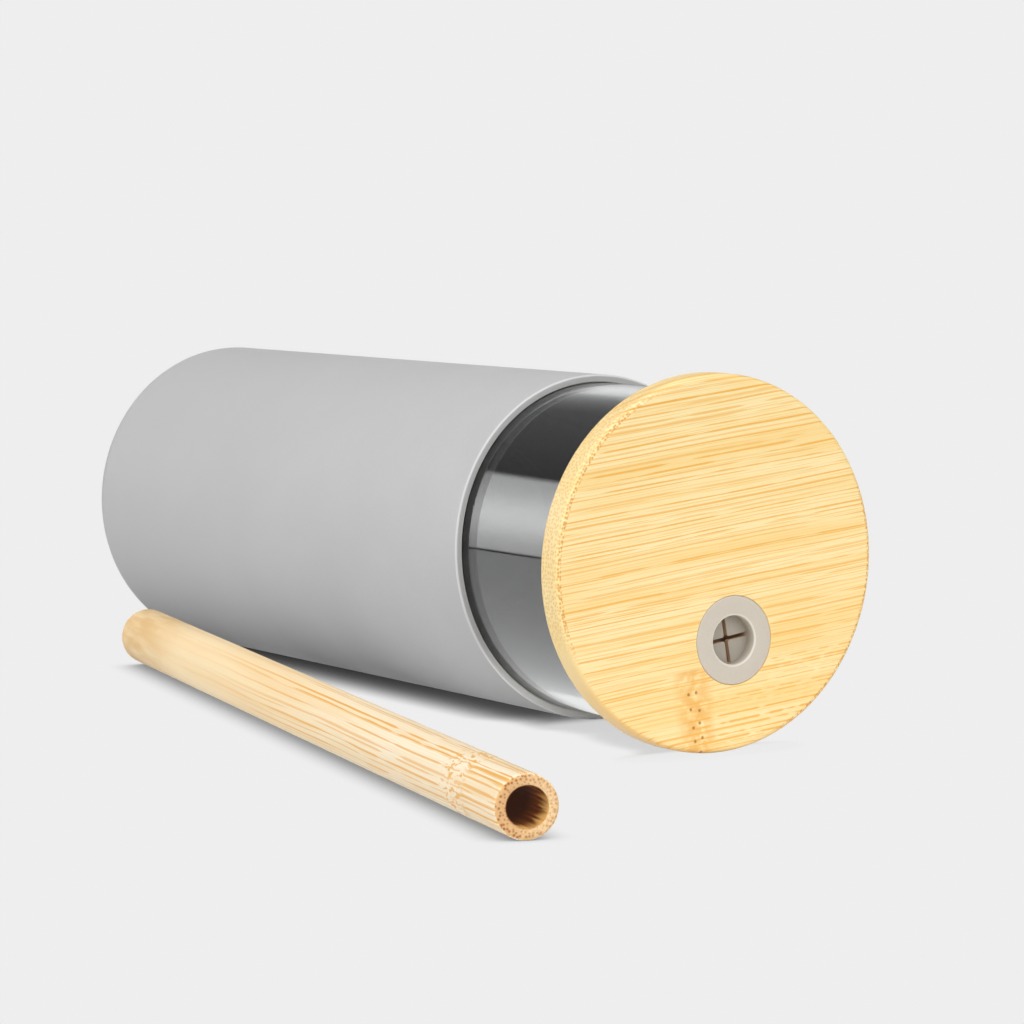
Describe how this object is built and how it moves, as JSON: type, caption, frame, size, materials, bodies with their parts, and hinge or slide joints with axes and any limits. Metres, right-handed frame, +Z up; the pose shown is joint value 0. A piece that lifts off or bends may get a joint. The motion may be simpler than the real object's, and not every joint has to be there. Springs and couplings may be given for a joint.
{
  "type": "tumbler",
  "caption": "Clear glass tumbler lying on its side in a grey silicone sleeve, with a bamboo plug lid that has a slit straw grommet, and a loose bamboo straw beside it.",
  "frame": {"origin": "on the floor, below the middle of the box round the lying tumbler and its straw", "axes": "+X along the lying tumbler from its base to its lid, +Z up, +Y away from the straw"},
  "size_m": [0.2799, 0.1365, 0.0796],
  "materials": {
    "clear_glass": "polished, clear",
    "sleeve_silicone": "matt grey silicone",
    "lid_bamboo": "sanded, lightly oiled bamboo",
    "seal_silicone": "translucent white silicone",
    "grommet_silicone": "matt warm grey silicone",
    "straw_bamboo": "sanded bamboo"
  },
  "bodies": {
    "glass": {"glass_tumbler": "clear_glass"},
    "sleeve": {"silicone_sleeve": "sleeve_silicone"},
    "lid": {"bamboo_lid": "lid_bamboo", "lid_seal": "seal_silicone", "straw_grommet": "grommet_silicone"},
    "straw": {"bamboo_straw": "straw_bamboo"}
  },
  "joints": [
    {"name": "lid_pull", "type": "slide", "parent": "glass", "child": "lid", "axis": [0.9997, 0, 0.0245], "range_m": [0, 0.08]},
    {"name": "sleeve_peel", "type": "slide", "parent": "glass", "child": "sleeve", "axis": [-0.9997, 0, -0.0245], "range_m": [0, 0.17]},
    {"name": "straw_lift", "type": "slide", "parent": "glass", "child": "straw", "axis": [0, -0.7071, 0.7071], "range_m": [0, 0.12]}
  ]
}
